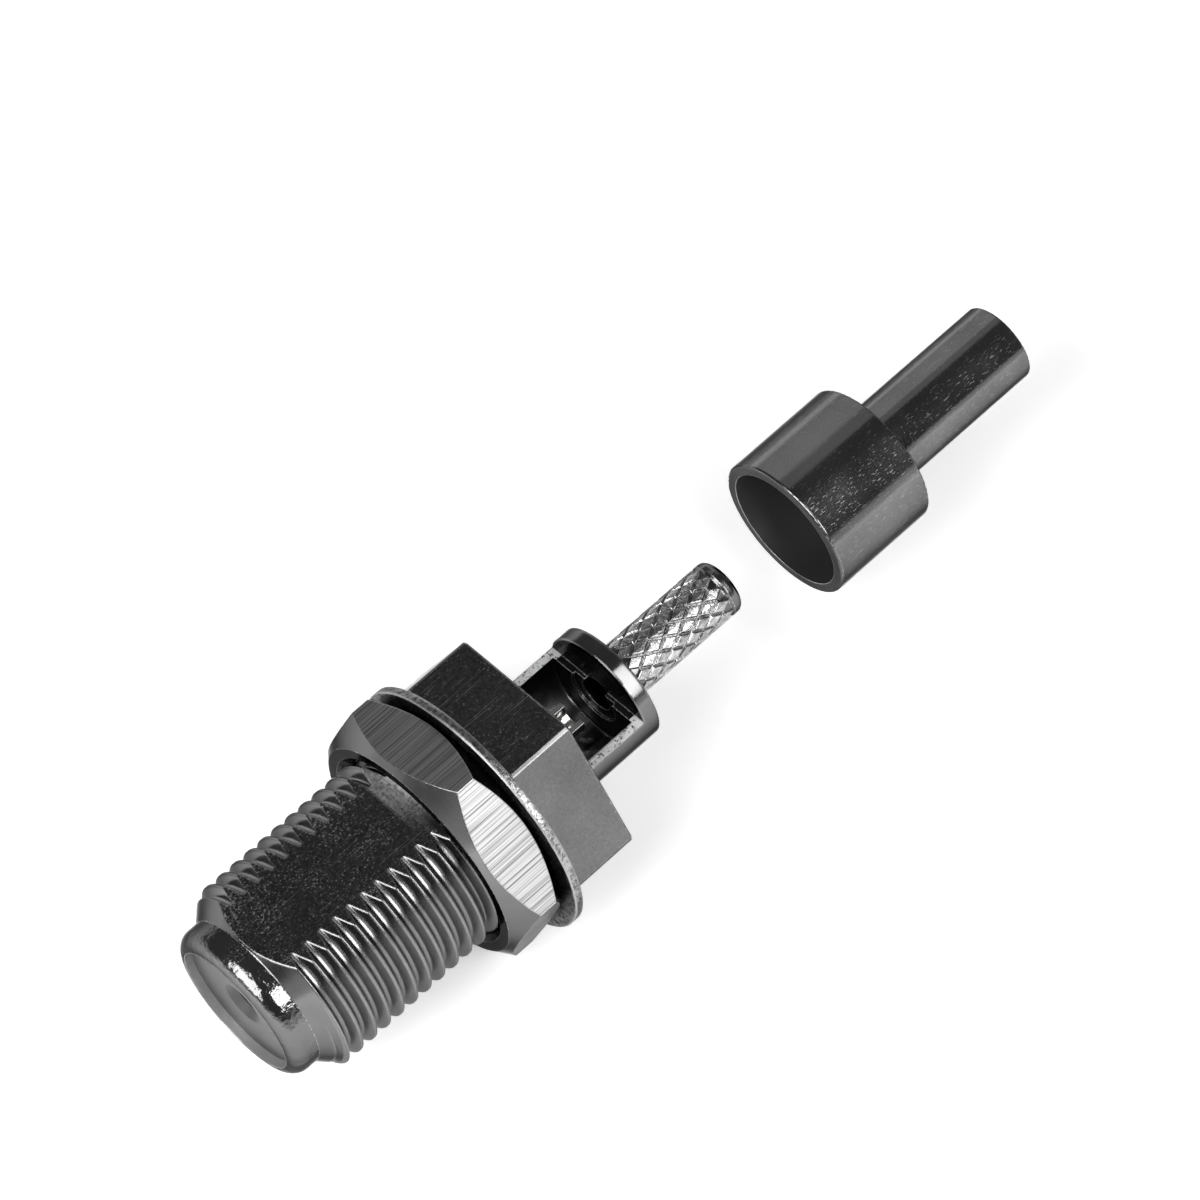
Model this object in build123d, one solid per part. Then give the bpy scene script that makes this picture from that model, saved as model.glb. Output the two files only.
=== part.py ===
"""Bulkhead jack for thin coaxial cable, with its panel nut, washer and stepped crimp ferrule.

Millimetres. The axis of the jack is the X axis: the mating nose points to -X, the cable
leaves towards +X. The origin is on the axis, in the front face of the body's hex, which is
the face that seats on the panel. The long flat of the thread faces +Z.
"""
from build123d import *
from math import ceil, cos, radians, sin, tan
import os

# driving sizes, in mm

# thread: 3/8-32 UNEF, right hand
THREAD_MAJOR_R = 9.525 / 2
THREAD_PITCH = 25.4 / 32
THREAD_DEPTH = 0.46
THREAD_CREST = THREAD_PITCH / 8
THREAD_PLAY = 0.06            # between the body's thread and the nut's
THREAD_PHASE = 0.25           # where a crest crosses the thread's start line, in pitches
THREAD_TURN = 176.4           # angle of that line from +Z about the axis
FLAT_DEPTH = 0.8425           # the flat milled along the thread
FLAT_END_GAP = 0.20           # from the nut back to where the flat runs out
FLAT_RUN_OUT_R = 1.50

# turned body, positions along the axis
NOSE_X = -14.00
NOSE_LENGTH = 1.29            # to the 45 degree lead of the thread
NOSE_STEP = 0.9125            # from the thread's crests down to the nose
NOSE_ROUND = 0.72
RELIEF_LENGTH = 0.80          # thread run-out groove in front of the hex
RELIEF_STEP = 0.5425          # from the thread's crests down to the groove
HEX_SHOULDER = 0.7775         # from the thread's crests out to the hex's flats
HEX_LENGTH = 3.36
HOUSING_R = 2.94
HOUSING_END = 8.28
WINDOW_Z = 0.58               # the milled window opens the housing above this plane
END_WALL = 0.77               # wall left behind the window
STEM_R = 1.35                 # over the knurl and the plain ends
STEM_LENGTH = 6.80
KNURL_FRONT = 0.32            # plain collar between the housing and the knurl
KNURL_BACK = 0.55             # plain tip behind it
KNURL_DEPTH = 0.11

# bores of the body
INSULATOR_R = 3.15
INSULATOR_SUNK = 0.45         # behind the nose's face
INSULATOR_LENGTH = 3.00
MAIN_BORE_R = 2.70
BEAD_FRONT = -1.60
BEAD_BACK = 2.40
HOUSING_WALL = 0.415
FLOOR_RISE = 0.35             # from the bore's floor to the end of the window
CABLE_BORE_R = 0.85
CABLE_SEAT_R = 1.35           # shallow step that the cable's insulation stops in
CABLE_SEAT_DEPTH = 0.15

# centre contact
CONTACT_R = 1.00
CONTACT_SUNK = 1.90           # behind the insulator's face
FUNNEL_R = 1.05               # leads the plug's wire in
CONTACT_WALL = 0.50
SOCKET_DEPTH = 7.00
SLOT_LENGTH = 5.00
SLOT_WIDTH = 0.25
COLLAR_R = 1.50
COLLAR_LENGTH = 1.00
POT_R = 0.78
POT_END = 5.90
POT_WALL = 0.26
POT_DEPTH = 2.40
CUP_LENGTH = 1.40             # where the pot's upper side is cut away for the iron
CUP_Z = 0.20

# washer and nut
WASHER_WIDTH = 1.7375         # from the thread's crests out to the rim
WASHER_PLAY = 0.35
WASHER_SAG = 0.20             # the washer hangs off the axis by this much
WASHER_SAG_TURN = 117.6       # towards this angle from +Z, towards -Y
WASHER_T = 0.40
WASHER_SLOTS = 12
WASHER_SLOT_R = 0.275
WASHER_SLOT_DEPTH = 0.75      # from the thread's crests
NUT_WALL = 1.1375             # from the thread's crests out to the nut's flats
NUT_T = 2.95
NUT_TURN = 21.4               # angle of a nut corner from +Z, towards -Y
NUT_RIM = 0.8375              # from the thread's crests out to the faces' chamfer
NUT_CHAMFER = 40.0
NUT_SINK = 0.42               # countersinks of the thread
NUT_MOUTH = 0.32

# ferrule, drawn off along the axis
FERRULE_X = 18.95             # mouth, at rest
FERRULE_PLAY = 0.11           # round the housing
FERRULE_WALL = 0.52
FERRULE_BORE_DEPTH = 4.75
FERRULE_FLOOR = 0.75
FERRULE_SMALL_BORE_R = 1.52
FERRULE_SMALL_WALL = 0.44
FERRULE_SMALL_LENGTH = 8.20
FERRULE_ROUND = 0.10

# places and radii that follow
THREAD_ROOT_R = THREAD_MAJOR_R - THREAD_DEPTH
FLAT_Z = THREAD_MAJOR_R - FLAT_DEPTH
NOSE_R = THREAD_MAJOR_R - NOSE_STEP
CONE_X = NOSE_X + NOSE_LENGTH
HEX_R = THREAD_MAJOR_R + HEX_SHOULDER
WINDOW_END = HOUSING_END - END_WALL
STEM_END = HOUSING_END + STEM_LENGTH
INSULATOR_FACE = NOSE_X + INSULATOR_SUNK
INSULATOR_BACK = INSULATOR_FACE + INSULATOR_LENGTH
CONTACT_FRONT = INSULATOR_FACE + CONTACT_SUNK
HOUSING_BORE_R = HOUSING_R - HOUSING_WALL
HOUSING_FLOOR = WINDOW_END - FLOOR_RISE
NUT_BACK = -WASHER_T
NUT_FRONT = NUT_BACK - NUT_T
FLAT_END = NUT_FRONT - FLAT_END_GAP

# the axis as a local Z, with local X pointing up
ALONG = Location(Plane(origin=(0, 0, 0), x_dir=(0, 0, 1), z_dir=(1, 0, 0)))


def turned(*points):
    """A solid of revolution about the X axis from (x, radius) points."""
    return revolve(make_face(Plane.XZ * Polyline(*points, close=True)), Axis.X)


def rod(x0, x1, r):
    return turned((x0, 0), (x1, 0), (x1, r), (x0, r))


def hexagon(flats, x0, x1, turn=0.0):
    """A hexagonal bar along X, a flat facing +Z when turn is 0."""
    face = Plane.YZ.offset(x0) * Rot(0, 0, turn) * RegularPolygon(flats / 2, 6, major_radius=False)
    return extrude(face, x1 - x0, dir=(1, 0, 0))


def cut_thread(blank, section, x0, x1):
    """Take a thread's groove out of a blank, turn by turn from x0 till past x1, make sure that
    it came out and no more did, and turn the piece so that the thread starts where it should.
    The section is (outwards, along) from the major radius."""
    path = Pos(0, 0, x0) * Helix(pitch=THREAD_PITCH, height=THREAD_PITCH, radius=THREAD_MAJOR_R)
    plane = Plane(origin=path @ 0, x_dir=(1, 0, 0), z_dir=path % 0)
    one_turn = ALONG * sweep(make_face(plane * Polyline(*section, close=True)), path, is_frenet=True)
    turns = ceil((x1 - x0) / THREAD_PITCH)
    cut = blank - [Pos(i * THREAD_PITCH, 0, 0) * one_turn for i in range(turns)]
    share = (blank.volume - cut.volume) / (turns * one_turn.volume)
    if not 0.3 < share < 0.9:
        raise ValueError("the thread did not cut")
    return Rot(THREAD_TURN, 0, 0) * cut


def groove_start(x, half=0.0):
    """The last place before x where the groove between two crests crosses the start line."""
    phase = (THREAD_PHASE + 0.5 + half) % 1
    return THREAD_PITCH * (x // THREAD_PITCH - 1 + phase)


# connector body

def barrel():
    """Nose, coupling thread with its flat, and the run-out groove."""
    a = NOSE_ROUND
    relief_r = THREAD_MAJOR_R - RELIEF_STEP
    into_hex = HEX_LENGTH / 4
    outline = Polyline((NOSE_X, 0), (NOSE_X, NOSE_R - a))
    outline += RadiusArc((NOSE_X, NOSE_R - a), (NOSE_X + a, NOSE_R), a)
    outline += Polyline(
        (NOSE_X + a, NOSE_R), (CONE_X, NOSE_R), (CONE_X + NOSE_STEP, THREAD_MAJOR_R),
        (-RELIEF_LENGTH - RELIEF_STEP, THREAD_MAJOR_R), (-RELIEF_LENGTH, relief_r),
        (into_hex, relief_r), (into_hex, 0), (NOSE_X, 0))
    # the seam of the turned blank is kept away from the line where the helix starts
    blank = Rot(180, 0, 0) * revolve(make_face(Plane.XZ * outline), Axis.X)
    over = THREAD_DEPTH / 9
    slope = tan(radians(30))
    top = THREAD_PITCH - THREAD_CREST + 2 * over * slope
    root = THREAD_PITCH - THREAD_CREST - 2 * THREAD_DEPTH * slope
    section = ((-THREAD_DEPTH, -root / 2), (over, -top / 2), (over, top / 2), (-THREAD_DEPTH, root / 2))
    threaded = cut_thread(blank, section, groove_start(CONE_X), -RELIEF_LENGTH)
    length = FLAT_END - NOSE_X + 1
    wide = 3 * THREAD_MAJOR_R
    flat = Pos(FLAT_END - length / 2, 0, FLAT_Z + wide / 2) * Box(length, wide, wide)
    flat += Pos(FLAT_END, 0, FLAT_Z + FLAT_RUN_OUT_R) * Rot(90, 0, 0) * Cylinder(FLAT_RUN_OUT_R, wide)
    return threaded - flat


def crimp_stem():
    """The stem, with its tip rounded and turned down between two collars for the knurl."""
    stem = rod(WINDOW_END, STEM_END, STEM_R)
    stem = fillet(stem.edges().sort_by(Axis.X)[-1], 0.65 * (STEM_R - CABLE_BORE_R))
    x0, x1 = HOUSING_END + KNURL_FRONT, STEM_END - KNURL_BACK
    root = STEM_R - KNURL_DEPTH
    return stem - turned((x0, 2 * STEM_R), (x0, STEM_R), (x0 + KNURL_DEPTH, root),
                         (x1 - KNURL_DEPTH, root), (x1, STEM_R), (x1, 2 * STEM_R))


def connector_body():
    body = barrel()
    hex_bar = hexagon(2 * HEX_R, 0, HEX_LENGTH)
    hex_bar = chamfer(hex_bar.edges().filter_by(Axis.X), 0.10)
    hex_bar = chamfer(hex_bar.faces().sort_by(Axis.X)[-1].edges(), 0.08)
    body += hex_bar
    body += rod(0.8 * HEX_LENGTH, HOUSING_END, HOUSING_R)
    body += crimp_stem()
    lead = 0.32
    bores = turned(
        (NOSE_X - 1, 0), (NOSE_X - 1, INSULATOR_R), (INSULATOR_BACK, INSULATOR_R),
        (INSULATOR_BACK, MAIN_BORE_R), (BEAD_BACK, MAIN_BORE_R), (BEAD_BACK, HOUSING_BORE_R),
        (HOUSING_FLOOR, HOUSING_BORE_R), (HOUSING_FLOOR, CABLE_SEAT_R),
        (HOUSING_FLOOR + CABLE_SEAT_DEPTH, CABLE_SEAT_R), (HOUSING_FLOOR + CABLE_SEAT_DEPTH, CABLE_BORE_R),
        (STEM_END - 0.4 * lead, CABLE_BORE_R), (STEM_END + 0.6 * lead, CABLE_BORE_R + lead),
        (STEM_END + 0.6 * lead, 0))
    body -= bores
    length = WINDOW_END - HEX_LENGTH
    high = 2 * HOUSING_R
    window = Pos(HEX_LENGTH + length / 2, 0, WINDOW_Z + high / 2) * Box(length, 3 * HOUSING_R, high)
    return body - window


# insulators and contact

def front_insulator():
    """A disc that holds the contact's front, with a funnel for the plug's wire."""
    face, bottom = INSULATOR_FACE, CONTACT_FRONT
    disc = rod(face, INSULATOR_BACK, INSULATOR_R)
    mouth, throat = FUNNEL_R, 0.7 * CONTACT_R
    hole = turned(
        (face - 1, 0), (face - 1, mouth), (face, mouth), (face + mouth - throat, throat),
        (bottom, throat), (bottom, CONTACT_R), (INSULATOR_BACK + 1, CONTACT_R), (INSULATOR_BACK + 1, 0))
    return disc - hole


def rear_insulator():
    return rod(BEAD_FRONT, BEAD_BACK, MAIN_BORE_R) - rod(BEAD_FRONT - 1, BEAD_BACK + 1, POT_R)


def centre_contact():
    """Slotted socket in front, a collar against the bead, and a solder pot in the window."""
    x = CONTACT_FRONT
    socket_r = CONTACT_R - CONTACT_WALL
    lead = CONTACT_WALL / 2
    pin = rod(x, BEAD_FRONT, CONTACT_R)
    pin += rod(BEAD_FRONT - COLLAR_LENGTH, BEAD_FRONT, COLLAR_R)
    pin += rod(BEAD_FRONT - COLLAR_LENGTH / 2, POT_END, POT_R)
    pin -= turned((x - 1, 0), (x - 1, socket_r + lead), (x, socket_r + lead), (x + lead, socket_r),
                  (x + SOCKET_DEPTH, socket_r), (x + SOCKET_DEPTH, 0))
    slot = Pos(x + SLOT_LENGTH / 2 - 0.5, 0, 0) * Box(SLOT_LENGTH + 1, 4 * CONTACT_R, SLOT_WIDTH)
    pin -= slot
    pin -= Rot(90, 0, 0) * slot
    pin -= rod(POT_END - POT_DEPTH, POT_END + 1, POT_R - POT_WALL)
    cup = Pos(POT_END - CUP_LENGTH / 2 + 0.5, 0, CUP_Z + POT_R) * Box(CUP_LENGTH + 1, 4 * POT_R, 2 * POT_R)
    return pin - cup


# washer and nut

def lock_washer():
    """A flat spring washer, slotted from its bore so that the tongues between can bite. It is
    loose on the thread, and the nut has caught it hanging to one side."""
    ring = rod(-WASHER_T, 0, THREAD_MAJOR_R + WASHER_WIDTH)
    ring -= rod(-WASHER_T - 1, 1, THREAD_MAJOR_R + WASHER_PLAY)
    r = WASHER_SLOT_R
    end = THREAD_MAJOR_R + WASHER_SLOT_DEPTH - r
    gap = Pos(-WASHER_T / 2, 0, end - r) * Box(2, 2 * r, 2 * r)
    gap += Pos(-WASHER_T / 2, 0, end) * Rot(0, 90, 0) * Cylinder(r, 2)
    for i in range(WASHER_SLOTS):
        ring -= Rot(360 / WASHER_SLOTS * (i + 0.5), 0, 0) * gap
    side = radians(WASHER_SAG_TURN)
    return Pos(0, -WASHER_SAG * sin(side), WASHER_SAG * cos(side)) * ring


def hex_nut():
    """Plain hex nut, both faces chamfered deep into the corners, with a running thread."""
    x0, x1 = NUT_FRONT, NUT_BACK
    flats = 2 * (THREAD_MAJOR_R + NUT_WALL)
    face_r = THREAD_MAJOR_R + NUT_RIM
    corner = flats / 2 / cos(radians(30)) + 0.3
    cut = (corner - face_r) * tan(radians(NUT_CHAMFER))
    outside = hexagon(flats, x0, x1, 90 + NUT_TURN) & turned(
        (x0, 0), (x0, face_r), (x0 + cut, corner), (x1 - cut, corner), (x1, face_r), (x1, 0))
    slope = tan(radians(30))
    inner = THREAD_DEPTH - THREAD_PLAY
    over = inner / 10
    tip = THREAD_CREST + 2 * THREAD_PLAY / cos(radians(30)) - 2 * THREAD_PLAY * slope
    root = tip + 2 * (inner + over + THREAD_PLAY) * slope
    section = ((-inner - over, -root / 2), (THREAD_PLAY, -tip / 2),
               (THREAD_PLAY, tip / 2), (-inner - over, root / 2))
    ring = rod(x0, x1, 1.5 * THREAD_MAJOR_R) - rod(x0 - 1, x1 + 1, THREAD_MAJOR_R - inner)
    nut = cut_thread(ring, section, groove_start(x0, 0.5), x1 + THREAD_PITCH / 2) & outside
    mouth = THREAD_MAJOR_R + NUT_MOUTH
    throat = THREAD_ROOT_R - THREAD_PLAY
    front = turned((x0 - 1, 0), (x0 - 1, mouth), (x0, mouth), (x0 + NUT_SINK, mouth - 1.1 * NUT_SINK),
                   (x0 + 3 * NUT_SINK, throat), (x0 + 3 * NUT_SINK, 0))
    back = turned((x1 + 1, 0), (x1 + 1, mouth), (x1, mouth), (x1 - 2 * NUT_SINK, throat), (x1 - 2 * NUT_SINK, 0))
    return nut - Rot(THREAD_TURN, 0, 0) * front - Rot(THREAD_TURN, 0, 0) * back


# crimp ferrule

def crimp_ferrule():
    """Two tubes in one: the wide one slides over the housing, the narrow one grips the cable."""
    x = FERRULE_X
    bore_r = HOUSING_R + FERRULE_PLAY
    big_r = bore_r + FERRULE_WALL
    small_r = FERRULE_SMALL_BORE_R + FERRULE_SMALL_WALL
    floor = x + FERRULE_BORE_DEPTH
    shoulder = floor + FERRULE_FLOOR
    end = shoulder + FERRULE_SMALL_LENGTH
    shell = turned((x, 0), (x, big_r), (shoulder, big_r), (shoulder, small_r), (end, small_r), (end, 0))
    root = shell.edges().filter_by(GeomType.CIRCLE).filter_by(
        lambda e: abs(e.radius - small_r) < 1e-6 and abs(e.center().X - shoulder) < 1e-6)
    shell = fillet(root, 2.2 * FERRULE_ROUND)
    rims = shell.edges().filter_by(GeomType.CIRCLE).filter_by(
        lambda e: abs(e.radius - big_r) < 1e-6 or abs(e.center().X - end) < 1e-6)
    shell = fillet(rims, FERRULE_ROUND)
    bore = turned((x - 1, 0), (x - 1, bore_r), (floor, bore_r), (floor, FERRULE_SMALL_BORE_R),
                  (end + 1, FERRULE_SMALL_BORE_R), (end + 1, 0))
    return shell - bore


os.makedirs("parts", exist_ok=True)
pieces = {
    "connector_body": connector_body,
    "front_insulator": front_insulator,
    "rear_insulator": rear_insulator,
    "centre_contact": centre_contact,
    "lock_washer": lock_washer,
    "hex_nut": hex_nut,
    "crimp_ferrule": crimp_ferrule,
}
for name, make in pieces.items():
    solid = make()
    found = solid.solids()
    if len(found) != 1:
        raise ValueError(f"{name} came out as {len(found)} solids")
    export_step(found[0], f"parts/{name}.step")
    box = found[0].bounding_box()
    print(f"{name}: {found[0].volume:.2f} mm3, X {box.min.X:.2f} to {box.max.X:.2f}")
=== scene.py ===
"""Dress a bulkhead coax jack with its ferrule: plated metals, knurled stem, stage and light."""
import math
import bmesh
import bpy
from bpy.props import FloatProperty, FloatVectorProperty, IntProperty, PointerProperty
from mathutils import Euler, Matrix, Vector


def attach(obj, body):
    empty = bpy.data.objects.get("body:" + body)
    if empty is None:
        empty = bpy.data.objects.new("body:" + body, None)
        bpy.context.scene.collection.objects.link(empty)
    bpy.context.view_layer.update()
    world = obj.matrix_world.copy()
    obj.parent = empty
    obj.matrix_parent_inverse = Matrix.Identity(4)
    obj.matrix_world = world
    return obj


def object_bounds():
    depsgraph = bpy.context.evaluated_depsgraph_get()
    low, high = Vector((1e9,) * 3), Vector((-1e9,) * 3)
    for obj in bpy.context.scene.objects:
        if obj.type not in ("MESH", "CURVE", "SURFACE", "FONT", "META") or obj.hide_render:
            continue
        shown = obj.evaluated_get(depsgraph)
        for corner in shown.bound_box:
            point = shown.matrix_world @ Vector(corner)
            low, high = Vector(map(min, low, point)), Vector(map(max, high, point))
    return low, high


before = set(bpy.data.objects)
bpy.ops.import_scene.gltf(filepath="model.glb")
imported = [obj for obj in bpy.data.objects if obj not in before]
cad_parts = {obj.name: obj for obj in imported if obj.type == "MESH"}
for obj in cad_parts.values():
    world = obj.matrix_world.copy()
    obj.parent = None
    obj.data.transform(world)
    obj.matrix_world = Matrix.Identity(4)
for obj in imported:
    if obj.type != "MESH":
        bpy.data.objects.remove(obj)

bl_info = {
    "name": "Coax Jack Dressing",
    "version": (1, 0, 0),
    "blender": (4, 5, 0),
    "location": "3D View > Sidebar > Coax Jack",
    "description": "Plates the jack, its nut, washer and ferrule, knurls the stem and sets a studio",
    "category": "Object",
}

CAD_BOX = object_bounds()
MM = 0.001
ANYWHERE = (-20, 20)  # along the body's axis, in mm


def linear(code):
    """An sRGB hex colour as linear red, green, blue and alpha."""
    parts = [int(code[i:i + 2], 16) / 255 for i in (1, 3, 5)]
    return tuple(c / 12.92 if c <= 0.04045 else ((c + 0.055) / 1.055) ** 2.4 for c in parts) + (1.0,)


# sizes and colours that a user would change

class JackPlating(bpy.types.PropertyGroup):
    plate: FloatVectorProperty(
        name="Plate", description="Colour of the dark nickel plate", subtype="COLOR", size=4,
        min=0, max=1, default=linear("#6C6C6C"))
    worn: FloatVectorProperty(
        name="Worn metal", description="Colour where the plate has rubbed bright", subtype="COLOR",
        size=4, min=0, max=1, default=linear("#B4B4B4"))
    grain_mm: FloatProperty(
        name="Speckle", description="Distance between specks on a milled face, in mm",
        default=0.11, min=0.02, max=1)
    edge_mm: FloatProperty(
        name="Edge", description="Radius of the rubbed edges, in mm", default=0.07, min=0.01, max=0.5)


class StemKnurl(bpy.types.PropertyGroup):
    starts: IntProperty(
        name="Starts", description="Grooves of each hand round the stem", default=12, min=4, max=60)
    lead_angle: FloatProperty(
        name="Angle", description="Angle of a groove from the axis", subtype="ANGLE",
        default=math.radians(30.8))
    radius: FloatProperty(
        name="Radius", description="Radius over the diamonds", subtype="DISTANCE", unit="LENGTH",
        default=1.35 * MM, min=0.5 * MM)
    depth: FloatProperty(
        name="Depth", description="Height of a diamond over its grooves", subtype="DISTANCE",
        unit="LENGTH", default=0.11 * MM, min=0.01 * MM)
    start: FloatProperty(
        name="Start", description="Where the knurl starts along the axis", subtype="DISTANCE",
        unit="LENGTH", default=8.60 * MM)
    end: FloatProperty(
        name="End", description="Where the knurl ends along the axis", subtype="DISTANCE",
        unit="LENGTH", default=14.53 * MM)
    crest: FloatProperty(
        name="Crest", description="Share of a diamond that is its flat top", subtype="FACTOR",
        default=0.70, min=0.1, max=0.95)


class StudioStage(bpy.types.PropertyGroup):
    lens: FloatProperty(name="Lens", description="Focal length in mm on a 36 mm sensor", default=165.0)
    place: FloatVectorProperty(
        name="Camera place", description="Where the camera stands", subtype="TRANSLATION",
        unit="LENGTH", default=(-67.493 * MM, -105.255 * MM, 201.007 * MM))
    aim: FloatVectorProperty(
        name="Camera turn", description="Turn of the camera", subtype="EULER", unit="ROTATION",
        default=(math.radians(33.278), math.radians(5.520), math.radians(-44.132)))
    floor: FloatVectorProperty(
        name="Floor", description="Colour of the floor", subtype="COLOR", size=4, min=0, max=1,
        default=linear("#FFFFFF"))
    ceiling: FloatVectorProperty(
        name="Ceiling", description="Colour of the dim room over the jack", subtype="COLOR", size=4,
        min=0, max=1, default=linear("#656565"))
    window: FloatProperty(
        name="Window", description="Brightness of the soft lamp along the side", default=7.0, min=0)
    front: FloatProperty(
        name="Front", description="Brightness of the soft lamp before the nose", default=6.0, min=0)


# nodes

def add_node(tree, kind, inputs=None, **settings):
    """Add a node, set its properties, and set or link its inputs."""
    node = tree.nodes.new(kind)
    for name, value in settings.items():
        setattr(node, name, value)
    for key, value in (inputs or {}).items():
        if isinstance(value, bpy.types.NodeSocket):
            tree.links.new(value, node.inputs[key])
        else:
            node.inputs[key].default_value = value
    return node


def new_material(name):
    """An empty node material and its tree, with the shader and output in place."""
    material = bpy.data.materials.new(name)
    material.use_nodes = True
    tree = material.node_tree
    tree.nodes.clear()
    shader = add_node(tree, "ShaderNodeBsdfPrincipled")
    add_node(tree, "ShaderNodeOutputMaterial", {"Surface": shader.outputs[0]})
    return material, tree, shader


def dress(node, material):
    """Give a CAD node's object a new material in all its slots."""
    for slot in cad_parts[node].material_slots:
        slot.material = material


# A surface is a dictionary of its colour, rough, metal and normal, each a value or a socket. Plated
# metal is built up in layers: a layer is a function that takes the tree, its coordinates and the
# surface so far, and changes the surface.

def laid_over(tree, surface, share, colour, rough, dull=0.0):
    """Lay another finish over a share of the surface. dull is how far it scatters light as chalk
    does, where a metal would mirror it."""
    surface["colour"] = add_node(tree, "ShaderNodeMix", {
        0: share, 6: surface["colour"], 7: colour}, data_type="RGBA").outputs[2]
    surface["rough"] = add_node(tree, "ShaderNodeMix", {0: share, 2: surface["rough"], 3: rough}).outputs[0]
    if dull:
        surface["metal"] = add_node(tree, "ShaderNodeMath", {
            0: share, 1: -dull, 2: surface["metal"]}, operation="MULTIPLY_ADD", use_clamp=True).outputs[0]


def shaded(tree, surface, value, share=1.0):
    """Darken or lighten a share of the surface by a value."""
    surface["colour"] = add_node(tree, "ShaderNodeMix", {
        0: share, 6: surface["colour"], 7: value}, data_type="RGBA", blend_type="MULTIPLY").outputs[2]


def raised(tree, surface, height, depth, strength, share=1.0):
    """Raise a share of the surface by a pattern, up to a depth in mm."""
    height = add_node(tree, "ShaderNodeMath", {0: share, 1: height}, operation="MULTIPLY")
    surface["normal"] = add_node(tree, "ShaderNodeBump", {
        "Height": height.outputs[0], "Strength": strength, "Distance": depth * MM,
        "Normal": surface["normal"]}).outputs[0]


def where_flat(tree, coords, direction, low, high):
    """Mask of the faces that look along a direction, between two distances from the axis in mm."""
    turned_to = add_node(tree, "ShaderNodeVectorMath", {
        0: coords.outputs["Normal"], 1: direction}, operation="DOT_PRODUCT")
    facing = add_node(tree, "ShaderNodeMapRange", {
        "Value": turned_to.outputs["Value"], "From Min": 0.985, "From Max": 0.995})
    reach = add_node(tree, "ShaderNodeVectorMath", {
        0: coords.outputs["Object"], 1: direction}, operation="DOT_PRODUCT")
    inside = add_node(tree, "ShaderNodeMath", {
        0: reach.outputs["Value"], 1: (low + high) / 2 * MM, 2: (high - low) / 2 * MM},
        operation="COMPARE")
    return add_node(tree, "ShaderNodeMath", {
        0: facing.outputs[0], 1: inside.outputs[0]}, operation="MULTIPLY").outputs[0]


def where_round(tree, place, x0, x1, r0, r1):
    """Mask between two places along the axis and two radii, in mm."""
    split = add_node(tree, "ShaderNodeSeparateXYZ", {0: place})
    along = add_node(tree, "ShaderNodeMath", {
        0: split.outputs[0], 1: (x0 + x1) / 2 * MM, 2: (x1 - x0) / 2 * MM}, operation="COMPARE")
    across = add_node(tree, "ShaderNodeCombineXYZ", {1: split.outputs[1], 2: split.outputs[2]})
    out = add_node(tree, "ShaderNodeVectorMath", {0: across.outputs[0]}, operation="LENGTH")
    between = add_node(tree, "ShaderNodeMath", {
        0: out.outputs["Value"], 1: (r0 + r1) / 2 * MM, 2: (r1 - r0) / 2 * MM}, operation="COMPARE")
    return add_node(tree, "ShaderNodeMath", {
        0: along.outputs[0], 1: between.outputs[0]}, operation="MULTIPLY").outputs[0]


def scratches(tree, place, turn, length, width, share):
    """Mask of hairlines, with their length and width in mm; share is how few show, 0 to 1."""
    along, across = 1 / (length * MM), 1 / (width * MM)
    lay = add_node(tree, "ShaderNodeMapping", {
        "Vector": place, "Rotation": turn, "Scale": (along, across, across)})
    lines = add_node(tree, "ShaderNodeTexNoise", {"Vector": lay.outputs[0], "Scale": 1.0, "Detail": 1.0})
    return add_node(tree, "ShaderNodeMapRange", {
        "Value": lines.outputs[0], "From Min": share, "From Max": share + 0.04}).outputs[0]


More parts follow.
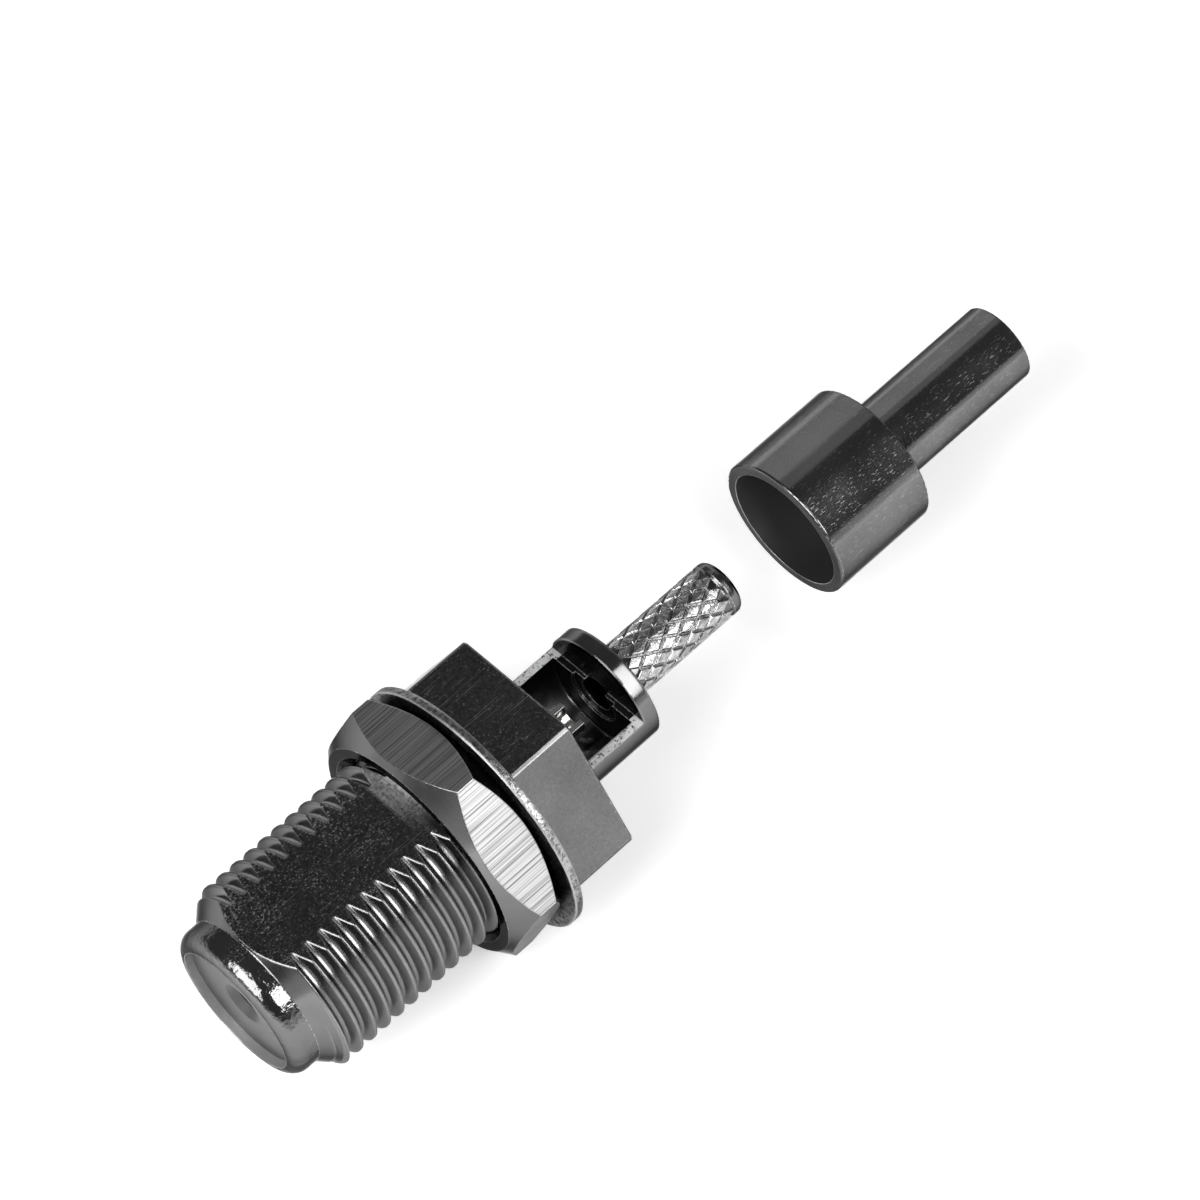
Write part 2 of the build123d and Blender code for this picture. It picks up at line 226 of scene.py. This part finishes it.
def milled(direction, low, high, specked=0.0, frayed=0.0):
    """A milled flat: fine bright specks where the plate is thin over the cutter's marks, and
    hairline scratches from handling. specked adds specks all over it, and frayed adds them
    towards the side and end that rub most."""
    def layer(tree, coords, surface):
        look = bpy.context.scene.jack_plating
        place = coords.outputs["Object"]
        mask = where_flat(tree, coords, direction, low, high)
        specks = add_node(tree, "ShaderNodeTexNoise", {
            "Vector": place, "Scale": 1 / (look.grain_mm * MM), "Detail": 3.0, "Roughness": 0.75})
        drift = add_node(tree, "ShaderNodeTexNoise", {
            "Vector": place, "Scale": 1 / (1.6 * MM), "Detail": 2.0})
        both = add_node(tree, "ShaderNodeMath", {
            0: drift.outputs[0], 1: 0.30, 2: specks.outputs[0]}, operation="MULTIPLY_ADD")
        # the flat rubs most towards +Y and towards the nose
        split = add_node(tree, "ShaderNodeSeparateXYZ", {0: place})
        side = add_node(tree, "ShaderNodeMapRange", {
            "Value": split.outputs[1], "From Min": 1.0 * MM, "From Max": 2.8 * MM, "To Min": specked,
            "To Max": specked + frayed})
        end = add_node(tree, "ShaderNodeMapRange", {
            "Value": split.outputs[0], "From Min": -9.5 * MM, "From Max": -12.3 * MM,
            "To Max": 0.6 * frayed})
        rubbed = add_node(tree, "ShaderNodeMath", {0: side.outputs[0], 1: end.outputs[0]}, operation="ADD")
        both = add_node(tree, "ShaderNodeMath", {0: both.outputs[0], 1: rubbed.outputs[0]}, operation="ADD")
        bright = add_node(tree, "ShaderNodeMapRange", {
            "Value": both.outputs[0], "From Min": 0.72, "From Max": 0.90, "To Max": 0.80})
        one = scratches(tree, place, (0, 0, math.radians(24)), 2.2, 0.05, 0.71)
        two = scratches(tree, place, (0, 0, math.radians(-62)), 2.6, 0.05, 0.69)
        marks = add_node(tree, "ShaderNodeMath", {0: one, 1: two}, operation="MAXIMUM")
        marks = add_node(tree, "ShaderNodeMath", {
            0: marks.outputs[0], 1: 0.40, 2: bright.outputs[0]}, operation="MULTIPLY_ADD", use_clamp=True)
        share = add_node(tree, "ShaderNodeMath", {0: mask, 1: marks.outputs[0]}, operation="MULTIPLY")
        mottle = add_node(tree, "ShaderNodeMapRange", {
            "Value": specks.outputs[0], "From Min": 0.35, "From Max": 0.65, "To Min": 0.50, "To Max": 1.60})
        shaded(tree, surface, mottle.outputs[0], mask)
        laid_over(tree, surface, share.outputs[0], tuple(look.worn), 0.6)
        raised(tree, surface, specks.outputs[0], 0.02, 0.10, mask)
    return layer


def tumbled(direction, low, high):
    """A face left matt by the tumbling barrel: an even fine grain without specks."""
    def layer(tree, coords, surface):
        mask = where_flat(tree, coords, direction, low, high)
        grain = add_node(tree, "ShaderNodeTexNoise", {
            "Vector": coords.outputs["Object"], "Scale": 1 / (0.12 * MM), "Detail": 3.0, "Roughness": 0.7})
        tone = add_node(tree, "ShaderNodeMapRange", {
            "Value": grain.outputs[0], "From Min": 0.3, "From Max": 0.7, "To Min": 0.82, "To Max": 1.15})
        laid_over(tree, surface, mask, surface["colour"], 0.30)
        shaded(tree, surface, tone.outputs[0], mask)
    return layer


def burred(direction, low, high, r0, r1):
    """A face left by the cut that opened the window, between two radii in mm: torn metal with dark
    pits, coloured near-white so it scatters light as chalk does; this is partly painted light, lifting
    faces that lie in the hex's shadow."""
    def layer(tree, coords, surface):
        flat = where_flat(tree, coords, direction, low, high)
        wall = where_round(tree, coords.outputs["Object"], *ANYWHERE, r0, r1)
        mask = add_node(tree, "ShaderNodeMath", {0: flat, 1: wall}, operation="MULTIPLY").outputs[0]
        torn = add_node(tree, "ShaderNodeTexNoise", {
            "Vector": coords.outputs["Object"], "Scale": 1 / (0.16 * MM), "Detail": 4.0, "Roughness": 0.75})
        bright = add_node(tree, "ShaderNodeMapRange", {
            "Value": torn.outputs[0], "From Min": 0.38, "From Max": 0.47})
        share = add_node(tree, "ShaderNodeMath", {0: mask, 1: bright.outputs[0]}, operation="MULTIPLY")
        # partly painted light: near-white chalk over the torn metal, brighter than the metal's own colour
        laid_over(tree, surface, share.outputs[0], linear("#FAFAFA"), 0.55, dull=0.9)
        raised(tree, surface, torn.outputs[0], 0.14, 1.0, mask)
    return layer


def recess_painted_shading(x0, x1, r0, r1, code, rough, dull=0.0, beyond=None, flats=False):
    """Grooves, bores and walls given a colour and finish of their own: painted light that lifts them out of
    their shade, or painted shade that darkens them. beyond keeps it to the side that lies past a Y in mm, and
    flats lets it cover faces that look straight up."""
    def layer(tree, coords, surface):
        mask = where_round(tree, coords.outputs["Object"], x0, x1, r0, r1)
        if not flats:
            up = add_node(tree, "ShaderNodeSeparateXYZ", {0: coords.outputs["Normal"]})
            sunk = add_node(tree, "ShaderNodeMath", {0: up.outputs[2], 1: 0.98}, operation="LESS_THAN")
            mask = add_node(tree, "ShaderNodeMath", {
                0: mask, 1: sunk.outputs[0]}, operation="MULTIPLY").outputs[0]
        if beyond is not None:
            split = add_node(tree, "ShaderNodeSeparateXYZ", {0: coords.outputs["Object"]})
            past = add_node(tree, "ShaderNodeMapRange", {
                "Value": split.outputs[1], "From Min": (beyond + 0.3) * MM,
                "From Max": (beyond - 0.3) * MM})
            mask = add_node(tree, "ShaderNodeMath", {
                0: mask, 1: past.outputs[0]}, operation="MULTIPLY").outputs[0]
        # painted light or shade: this colour stands in for how lit the recess is
        laid_over(tree, surface, mask, linear(code), rough, dull)
    return layer


def pressed(tree, coords, surface):
    """The knurling wheel leaves the diamonds' tops uneven."""
    dents = add_node(tree, "ShaderNodeTexNoise", {
        "Vector": coords.outputs["Object"], "Scale": 1 / (0.22 * MM), "Detail": 3.0, "Roughness": 0.6})
    tone = add_node(tree, "ShaderNodeMapRange", {
        "Value": dents.outputs[0], "From Min": 0.35, "From Max": 0.65, "To Min": 0.65, "To Max": 1.30})
    shaded(tree, surface, tone.outputs[0])
    raised(tree, surface, dents.outputs[0], 0.06, 0.4)


def stamped(tree, coords, surface):
    """The die tore the washer's rim: bright metal with dark pits."""
    torn = add_node(tree, "ShaderNodeTexNoise", {
        "Vector": coords.outputs["Object"], "Scale": 1 / (0.16 * MM), "Detail": 4.0, "Roughness": 0.7})
    dark = add_node(tree, "ShaderNodeMapRange", {
        "Value": torn.outputs[0], "From Min": 0.40, "From Max": 0.56, "To Min": 0.25, "To Max": 1.3})
    shaded(tree, surface, dark.outputs[0])
    raised(tree, surface, torn.outputs[0], 0.05, 0.5)


def run_out(x0, x1, z):
    """The curved end of the milled flat, where the cutter rose and left a lighter, torn face, most
    of it towards +Y. It comes in from x0 to x1 and starts at the height z, all in mm."""
    def layer(tree, coords, surface):
        look = bpy.context.scene.jack_plating
        place = coords.outputs["Object"]
        split = add_node(tree, "ShaderNodeSeparateXYZ", {0: place})
        along = add_node(tree, "ShaderNodeMapRange", {
            "Value": split.outputs[0], "From Min": x0 * MM, "From Max": x1 * MM})
        above = add_node(tree, "ShaderNodeMath", {0: split.outputs[2], 1: z * MM}, operation="GREATER_THAN")
        before = add_node(tree, "ShaderNodeMath", {0: split.outputs[0], 1: -0.5 * MM}, operation="LESS_THAN")
        up = add_node(tree, "ShaderNodeSeparateXYZ", {0: coords.outputs["Normal"]})
        level = add_node(tree, "ShaderNodeMath", {0: up.outputs[1], 1: 0.0, 2: 0.12}, operation="COMPARE")
        torn = add_node(tree, "ShaderNodeTexNoise", {
            "Vector": place, "Scale": 1 / (0.14 * MM), "Detail": 3.0, "Roughness": 0.6})
        patch = add_node(tree, "ShaderNodeMapRange", {
            "Value": torn.outputs[0], "From Min": 0.35, "From Max": 0.62, "To Min": 0.45, "To Max": 0.95})
        far = add_node(tree, "ShaderNodeMapRange", {
            "Value": split.outputs[1], "From Min": -1.5 * MM, "From Max": 0.5 * MM, "To Min": 0.15})
        share = patch.outputs[0]
        for part in (along, above, before, level, far):
            share = add_node(tree, "ShaderNodeMath", {
                0: share, 1: part.outputs[0]}, operation="MULTIPLY").outputs[0]
        laid_over(tree, surface, share, tuple(look.worn), 0.5, dull=0.25)
    return layer


def drawn(tree, coords, surface):
    """Straight draw lines along the bar that the nut was cut from, drawn 0.065 mm apart to show."""
    look = bpy.context.scene.jack_plating
    lay = add_node(tree, "ShaderNodeMapping", {
        "Vector": coords.outputs["Object"], "Scale": (1 / (14 * MM), 1 / (0.065 * MM), 1 / (0.065 * MM))})
    lines = add_node(tree, "ShaderNodeTexNoise", {
        "Vector": lay.outputs[0], "Scale": 1.0, "Detail": 3.0, "Roughness": 0.65})
    dark = add_node(tree, "ShaderNodeMapRange", {
        "Value": lines.outputs[0], "From Min": 0.36, "From Max": 0.55, "To Min": 0.30, "To Max": 1.0})
    out = add_node(tree, "ShaderNodeSeparateXYZ", {0: coords.outputs["Normal"]})
    side = add_node(tree, "ShaderNodeMath", {0: out.outputs[0], 1: 0.0, 2: 0.05}, operation="COMPARE")
    laid_over(tree, surface, side.outputs[0], tuple(look.worn), 0.33)
    shaded(tree, surface, dark.outputs[0], side.outputs[0])
    raised(tree, surface, lines.outputs[0], 0.02, 0.25, side.outputs[0])


def handled(tree, coords, surface):
    """Short scratches round a drawn tube and fine dust-like pits in its plate."""
    look = bpy.context.scene.jack_plating
    place = coords.outputs["Object"]
    one = scratches(tree, place, (0, 0, math.radians(78)), 0.45, 0.05, 0.68)
    two = scratches(tree, place, (0, 0, math.radians(104)), 0.35, 0.05, 0.69)
    pits = add_node(tree, "ShaderNodeTexNoise", {
        "Vector": place, "Scale": 1 / (0.09 * MM), "Detail": 3.0, "Roughness": 0.7})
    pitted = add_node(tree, "ShaderNodeMapRange", {
        "Value": pits.outputs[0], "From Min": 0.58, "From Max": 0.70, "To Max": 0.8})
    marks = add_node(tree, "ShaderNodeMath", {0: one, 1: two}, operation="MAXIMUM")
    marks = add_node(tree, "ShaderNodeMath", {0: marks.outputs[0], 1: pitted.outputs[0]}, operation="MAXIMUM")
    share = add_node(tree, "ShaderNodeMath", {0: marks.outputs[0], 1: 0.34}, operation="MULTIPLY")
    laid_over(tree, surface, share.outputs[0], tuple(look.worn), 0.6)


def dented(x0, x1):
    """Knocks from use: shallow dents that break up what the surface mirrors."""
    def layer(tree, coords, surface):
        place = coords.outputs["Object"]
        mask = where_round(tree, place, x0, x1, 0, 6)
        knocks = add_node(tree, "ShaderNodeTexNoise", {
            "Vector": place, "Scale": 1 / (0.5 * MM), "Detail": 3.0, "Roughness": 0.55})
        raised(tree, surface, knocks.outputs[0], 0.05, 1.0, mask)
    return layer


def plated_metal(name, *layers, tint=None, rough=0.12, edge=1.0, soft=()):
    """Dark nickel plate over turned brass: a deep grey mirror, softened by the lathe tool's fine
    rings and the plating bath's slow drift, with its sharp edges rubbed round and bright. The
    layers add what milling, tumbling, drawing or handling did to its faces, and painted light or
    shade on some of its grooves, bores and walls; tint is for a piece with a thinner, lighter plate,
    partly painted light on the washer, and soft lists where edges are rounder, with their radius in mm."""
    look = bpy.context.scene.jack_plating
    material, tree, shader = new_material(name)
    coords = add_node(tree, "ShaderNodeTexCoord")
    place = coords.outputs["Object"]

    # the plate's tone drifts over a few mm
    cloud = add_node(tree, "ShaderNodeTexNoise", {"Vector": place, "Scale": 1 / (2.5 * MM), "Detail": 3.0})
    tone = add_node(tree, "ShaderNodeMapRange", {
        "Value": cloud.outputs[0], "From Min": 0.3, "From Max": 0.7, "To Min": 0.88, "To Max": 1.10})
    sheen = add_node(tree, "ShaderNodeMapRange", {
        "Value": cloud.outputs[0], "From Min": 0.3, "From Max": 0.7,
        "To Min": rough - 0.03, "To Max": rough + 0.04})

    # an edge's normal turns over its rubbed radius, so a real edge's thin glint shows
    radius, rolled = edge * look.edge_mm * MM, 0.0
    for *where, size in soft:
        here = where_round(tree, place, *where)
        radius = add_node(tree, "ShaderNodeMix", {0: here, 2: radius, 3: size * MM}).outputs[0]
        rolled = add_node(tree, "ShaderNodeMath", {0: here, 1: rolled}, operation="MAXIMUM").outputs[0]
    rounded = add_node(tree, "ShaderNodeBevel", {"Radius": radius}, samples=8)
    surface = {
        "colour": tint or tuple(look.plate), "rough": sheen.outputs[0], "metal": 1.0,
        "normal": rounded.outputs[0]}
    shaded(tree, surface, tone.outputs[0])
    # rings of the lathe tool, 0.06 mm apart
    rings = add_node(tree, "ShaderNodeMapping", {"Vector": place, "Scale": (1 / (0.06 * MM), 300, 300)})
    ring = add_node(tree, "ShaderNodeTexNoise", {"Vector": rings.outputs[0], "Scale": 1.0, "Detail": 2.0})
    raised(tree, surface, ring.outputs[0], 0.01, 0.03)
    for layer in layers:
        layer(tree, coords, surface)

    # rubbed edges are bright in a ragged line, less so where they are rounder
    geometry = add_node(tree, "ShaderNodeNewGeometry")
    same = add_node(tree, "ShaderNodeVectorMath", {
        0: rounded.outputs[0], 1: geometry.outputs["Normal"]}, operation="DOT_PRODUCT")
    ragged = add_node(tree, "ShaderNodeTexNoise", {"Vector": place, "Scale": 1 / (0.12 * MM), "Detail": 3.0})
    limit = add_node(tree, "ShaderNodeMapRange", {
        "Value": ragged.outputs[0], "From Min": 0.35, "From Max": 0.65, "To Min": 0.88, "To Max": 0.99})
    turned = add_node(tree, "ShaderNodeMath", {
        0: same.outputs["Value"], 1: limit.outputs[0]}, operation="LESS_THAN")
    keep = add_node(tree, "ShaderNodeMath", {0: rolled, 1: -0.7, 2: 1.0}, operation="MULTIPLY_ADD")
    bare = add_node(tree, "ShaderNodeMath", {
        0: turned.outputs[0], 1: keep.outputs[0]}, operation="MULTIPLY")
    laid_over(tree, surface, bare.outputs[0], tuple(look.worn), 0.38)

    shader.inputs["Metallic"].default_value = 1.0
    if isinstance(surface["metal"], bpy.types.NodeSocket):
        tree.links.new(surface["metal"], shader.inputs["Metallic"])
    # tarnish keeps the rims seen at a glance from turning white
    shader.inputs["Specular Tint"].default_value = linear("#8C8C8C")
    tree.links.new(surface["colour"], shader.inputs["Base Color"])
    tree.links.new(surface["rough"], shader.inputs["Roughness"])
    tree.links.new(surface["normal"], shader.inputs["Normal"])
    return material


def moulded_plastic(name, code):
    """Insulator of moulded polythene in the grey it is given: satin from the mould's skin, with a faint
    orange-peel that softens its highlights."""
    material, tree, shader = new_material(name)
    coords = add_node(tree, "ShaderNodeTexCoord")
    cloud = add_node(tree, "ShaderNodeTexNoise", {
        "Vector": coords.outputs["Object"], "Scale": 1 / (1.2 * MM), "Detail": 3.0})
    tone = add_node(tree, "ShaderNodeMapRange", {
        "Value": cloud.outputs[0], "From Min": 0.3, "From Max": 0.7, "To Min": 0.85, "To Max": 1.05})
    surface = {"colour": linear(code)}
    shaded(tree, surface, tone.outputs[0])
    # round its hole the plastic is thin; the light that would come through it is painted in as a lighter
    # colour
    painted_light_round_hole = where_round(tree, coords.outputs["Object"], *ANYWHERE, 0, 1.07)
    shaded(tree, surface, (1.2, 1.2, 1.2, 1.0), painted_light_round_hole)
    peel = add_node(tree, "ShaderNodeTexNoise", {
        "Vector": coords.outputs["Object"], "Scale": 1 / (0.15 * MM), "Detail": 2.0})
    bump = add_node(tree, "ShaderNodeBump", {
        "Height": peel.outputs[0], "Strength": 0.15, "Distance": 0.01 * MM})
    tree.links.new(surface["colour"], shader.inputs["Base Color"])
    tree.links.new(bump.outputs[0], shader.inputs["Normal"])
    shader.inputs["Roughness"].default_value = 0.45
    return material


# pieces

class JACK_OT_body(bpy.types.Operator):
    """Plate the turned body and its centre contact"""
    bl_idname = "jack.body"
    bl_label = "Body and contact"

    def execute(self, context):
        up = (0, 0, 1)
        beside = (0, -math.sin(math.radians(60)), math.cos(math.radians(60)))
        layers = (
            milled(up, 3.5, 4.2, frayed=0.07),  # the long flat on the thread
            milled(up, 5.4, 5.7, specked=-0.04),  # the hex's top face
            tumbled(beside, 5.3, 5.7),  # the hex's next face
            run_out(-4.1, -3.9, 3.85),
            burred(up, 0.4, 0.7, 2.35, 3.2),  # the window's walls, partly painted light
            recess_painted_shading(-11.9, -3.2, 4.1, 4.68, "#808080", 0.2),  # the thread's grooves, painted light against their shade
            recess_painted_shading(-12.0, -3.2, 4.1, 4.8, "#787878", 0.35, dull=0.2, beyond=-3.6),  # painted shade on the thread's lower side
            recess_painted_shading(-13.97, -12.0, 3.0, 3.2, "#A0A0A0", 0.4, dull=0.5, flats=True),  # the nose's mouth, painted light on its shaded wall
            recess_painted_shading(0.2, 7.6, 0.5, 2.6, "#8E8E8E", 0.2),  # the housing's bores, painted light in their shade
            dented(-14.1, -12.71))  # the rounded nose
        # the thread's and the housing's edges are rounder than the rest
        soft = ((-12.6, -3.2, 4.1, 4.9, 0.13), (3.3, 8.4, 2.3, 3.0, 0.18))
        dress("connector_body", plated_metal("dark_nickel_body", *layers, edge=1.3, soft=soft))
        dress("centre_contact", plated_metal("bright_nickel_contact", tint=linear("#C8C8C6"), rough=0.22))
        return {"FINISHED"}


class JACK_OT_insulators(bpy.types.Operator):
    """Mould the two insulators"""
    bl_idname = "jack.insulators"
    bl_label = "Insulators"

    def execute(self, context):
        # the front insulator's dark grey is painted shade for its face sunk in the nose; the bead is the same
        # polythene in a light grey
        dress("front_insulator", moulded_plastic("polythene_front_painted_shade", "#3C3C3C"))
        dress("rear_insulator", moulded_plastic("polythene_bead", "#A8A8A8"))
        return {"FINISHED"}


class JACK_OT_fasteners(bpy.types.Operator):
    """Plate the nut and the lock washer"""
    bl_idname = "jack.fasteners"
    bl_label = "Nut and washer"

    def execute(self, context):
        dress("hex_nut", plated_metal("drawn_nickel_nut", drawn))
        # the washer's lighter tint is partly painted light, lifting its face that lies in shade behind the
        # nut
        dress("lock_washer", plated_metal(
            "stamped_nickel_washer", stamped, tint=linear("#929292"), rough=0.24, edge=3.2))
        return {"FINISHED"}


class JACK_OT_ferrule(bpy.types.Operator):
    """Plate the crimp ferrule"""
    bl_idname = "jack.ferrule"
    bl_label = "Crimp ferrule"

    def execute(self, context):
        # painted shade: the ferrule's bore is coloured darker and duller than its plate
        inside = recess_painted_shading(19.0, 30, 2.4, 3.1, "#585858", 0.5, dull=0.25, flats=True)
        dress("crimp_ferrule", plated_metal("drawn_nickel_ferrule", handled, inside, rough=0.11))
        return {"FINISHED"}


def diamond_rows(knurl, radius, x0, x1):
    """A sleeve of raised diamonds: two families of grooves that cross at equal angles."""
    mesh = bmesh.new()
    starts, keep = knurl.starts, knurl.crest
    along = 2 * math.pi * radius / starts / math.tan(knurl.lead_angle)
    rows = max(1, round(2 * (x1 - x0) / along))
    half = (x1 - x0) / rows
    root = radius - knurl.depth
    step = 2 * math.pi / starts

    def at(x, angle, r):
        return mesh.verts.new((x, -r * math.sin(angle), r * math.cos(angle)))

    # the grooves cross in rings, every second ring half a step round
    crossings = {}
    for i in range(rows + 1):
        for j in range(starts):
            crossings[i, j] = at(x0 + i * half, (j + 0.5 * (i % 2)) * step, root)
    for i in range(rows - 1):
        odd = i % 2
        for j in range(starts):
            right, left = (j + odd) % starts, (j + odd - 1) % starts
            outer = [crossings[i, j], crossings[i + 1, right], crossings[i + 2, j], crossings[i + 1, left]]
            x, a = x0 + (i + 1) * half, (j + 0.5 * odd) * step
            top = [at(x - half * keep, a, radius), at(x, a + 0.5 * step * keep, radius),
                   at(x + half * keep, a, radius), at(x, a - 0.5 * step * keep, radius)]
            mesh.faces.new(top)
            for k in range(4):
                mesh.faces.new((outer[k], outer[(k + 1) % 4], top[(k + 1) % 4], top[k]))
    # half diamonds close both ends
    for i, inner in ((0, 1), (rows, rows - 1)):
        for j in range(starts):
            beside = (j + 1) % starts
            tip = crossings[inner, beside if i % 2 else j]
            mesh.faces.new((crossings[i, j], crossings[i, beside], tip))
    bmesh.ops.recalc_face_normals(mesh, faces=mesh.faces)
    return mesh


class JACK_OT_knurl(bpy.types.Operator):
    """Build the diamond knurl that grips the cable's braid on the stem"""
    bl_idname = "jack.knurl"
    bl_label = "Stem knurl"

    def execute(self, context):
        knurl = context.scene.stem_knurl
        mesh = diamond_rows(knurl, knurl.radius, knurl.start, knurl.end)
        data = bpy.data.meshes.new("stem_knurl")
        mesh.to_mesh(data)
        mesh.free()
        piece = bpy.data.objects.new("stem_knurl", data)
        context.scene.collection.objects.link(piece)
        softened = piece.modifiers.new("Softened edges", "BEVEL")
        softened.width = 0.015 * MM
        softened.segments = 2
        softened.limit_method = "ANGLE"
        softened.angle_limit = math.radians(20)
        data.materials.append(plated_metal(
            "knurled_nickel_stem", pressed, tint=linear("#B2B2B2"), rough=0.22, edge=0.6))
        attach(piece, "jack")
        return {"FINISHED"}


# stage

def softbox(context, name, towards, aim, distance, width, height, strength):
    """A soft lamp of a given radiance, aimed at a point, unseen by the camera itself."""
    lamp = bpy.data.lights.new(name, "AREA")
    lamp.shape = "RECTANGLE"
    lamp.size, lamp.size_y = width, height
    lamp.energy = strength * math.pi * width * height
    piece = bpy.data.objects.new(name, lamp)
    context.scene.collection.objects.link(piece)
    way = Vector(towards).normalized()
    piece.location = Vector(aim) + way * distance
    piece.rotation_euler = way.to_track_quat("Z", "Y").to_euler()
    piece.visible_camera = False
    return piece


def lay_floor(context, stage):
    """White paper under the part's lowest point. Where the lamps light it less, it glows to stay
    white to the camera and in the metal; near the jack it glows little, so the shadow stays."""
    mesh = bmesh.new()
    bmesh.ops.create_grid(mesh, x_segments=1, y_segments=1, size=3.0)
    data = bpy.data.meshes.new("floor")
    mesh.to_mesh(data)
    mesh.free()
    floor = bpy.data.objects.new("floor", data)
    floor.location.z = CAD_BOX[0].z
    context.scene.collection.objects.link(floor)
    material, tree, shader = new_material("white_paper_floor")
    shader.inputs["Base Color"].default_value = tuple(stage.floor)
    shader.inputs["Roughness"].default_value = 0.9
    shader.inputs["Emission Color"].default_value = tuple(stage.floor)
    path = add_node(tree, "ShaderNodeLightPath")
    seen = add_node(tree, "ShaderNodeMath", {
        0: path.outputs["Is Camera Ray"], 1: path.outputs["Is Glossy Ray"]}, operation="MAXIMUM")
    seen = add_node(tree, "ShaderNodeMath", {
        0: seen.outputs[0], 1: path.outputs["Is Transmission Ray"]}, operation="MAXIMUM")
    spot = add_node(tree, "ShaderNodeTexCoord")
    away = add_node(tree, "ShaderNodeVectorMath", {0: spot.outputs["Object"]}, operation="LENGTH")
    needed = add_node(tree, "ShaderNodeMapRange", {
        "Value": away.outputs["Value"], "From Min": 40 * MM, "From Max": 220 * MM,
        "To Min": 0.30, "To Max": 0.92})
    glow = add_node(tree, "ShaderNodeMath", {0: seen.outputs[0], 1: needed.outputs[0]}, operation="MULTIPLY")
    tree.links.new(glow.outputs[0], shader.inputs["Emission Strength"])
    data.materials.append(material)


def dim_room(context, stage):
    """A dim room over a pale horizon."""
    world = bpy.data.worlds.new("studio")
    context.scene.world = world
    world.use_nodes = True
    tree = world.node_tree
    tree.nodes.clear()
    coords = add_node(tree, "ShaderNodeTexCoord")
    way = add_node(tree, "ShaderNodeSeparateXYZ", {0: coords.outputs["Generated"]})
    low, high = math.sin(math.radians(4)), math.sin(math.radians(12))
    rise = add_node(tree, "ShaderNodeMapRange", {
        "Value": way.outputs[2], "From Min": low, "From Max": high}, interpolation_type="SMOOTHSTEP")
    tint = add_node(tree, "ShaderNodeMix", {
        0: rise.outputs[0], 6: tuple(stage.floor), 7: tuple(stage.ceiling)}, data_type="RGBA")
    sky = add_node(tree, "ShaderNodeBackground", {"Color": tint.outputs[2], "Strength": 1.0})
    add_node(tree, "ShaderNodeOutputWorld", {"Surface": sky.outputs[0]})


def hang_lamps(context, stage):
    """Two bright windows along the jack's -Y side, two faint cards across from them and a soft
    lamp before the nose."""
    # each lamp: its side, how high it stands in degrees, its place along X, its size in mm, its light
    for name, side, up, x, width, height, light in (
            ("thread_box", -1, 35, 20, 56, 58, 1.4 * stage.window),
            ("stem_box", -1, 44, 56.5, 17, 160, stage.window),
            ("ferrule_card", 1, 26, 112, 80, 160, 0.1 * stage.window),
            ("ferrule_high_card", 1, 66, 112, 80, 66, 0.05 * stage.window)):
        turn = math.radians(up)
        softbox(context, name, (0, side * math.cos(turn), math.sin(turn)), (x * MM, 0, 0),
                150 * MM, width * MM, height * MM, light)
    softbox(context, "front_box", (-0.65, -0.05, 0.72), (-13 * MM, 0, 0),
            120 * MM, 90 * MM, 120 * MM, stage.front)


def place_camera(context, stage):
    """The camera at the angle of the product picture."""
    camera = bpy.data.cameras.new("camera")
    camera.lens = stage.lens
    camera.sensor_width = 36.0
    camera.clip_start, camera.clip_end = 0.005, 20.0
    piece = bpy.data.objects.new("camera", camera)
    piece.location = stage.place
    piece.rotation_euler = Euler(stage.aim)
    context.scene.collection.objects.link(piece)
    context.scene.camera = piece
    context.scene.view_settings.view_transform = "Standard"


class JACK_OT_stage(bpy.types.Operator):
    """Set the white floor, the soft lamps and the camera"""
    bl_idname = "jack.stage"
    bl_label = "Stage"

    def execute(self, context):
        for step in (lay_floor, dim_room, hang_lamps, place_camera):
            step(context, context.scene.studio_stage)
        return {"FINISHED"}


class JACK_PT_panel(bpy.types.Panel):
    """Steps and sizes of the jack's dressing"""
    bl_idname = "JACK_PT_panel"
    bl_label = "Coax Jack"
    bl_space_type = "VIEW_3D"
    bl_region_type = "UI"
    bl_category = "Coax Jack"

    def draw(self, context):
        scene = context.scene
        for group in (scene.jack_plating, scene.stem_knurl, scene.studio_stage):
            box = self.layout.box()
            for name in group.bl_rna.properties.keys():
                if name not in ("rna_type", "name"):
                    box.prop(group, name)
        for step in STEPS:
            self.layout.operator(step.bl_idname)


STEPS = (JACK_OT_body, JACK_OT_insulators, JACK_OT_fasteners, JACK_OT_ferrule, JACK_OT_knurl, JACK_OT_stage)
GROUPS = {"jack_plating": JackPlating, "stem_knurl": StemKnurl, "studio_stage": StudioStage}


def register():
    for cls in (*GROUPS.values(), *STEPS, JACK_PT_panel):
        bpy.utils.register_class(cls)
    for name, group in GROUPS.items():
        setattr(bpy.types.Scene, name, PointerProperty(type=group))


def unregister():
    for name in GROUPS:
        delattr(bpy.types.Scene, name)
    for cls in (JACK_PT_panel, *reversed(STEPS), *GROUPS.values()):
        bpy.utils.unregister_class(cls)


def main():
    for name in ("Cube", "Light", "Camera"):
        if name in bpy.data.objects:
            bpy.data.objects.remove(bpy.data.objects[name])
    register()
    for step in STEPS:
        group, action = step.bl_idname.split(".")
        getattr(getattr(bpy.ops, group), action)()


if __name__ == "__main__":
    main()
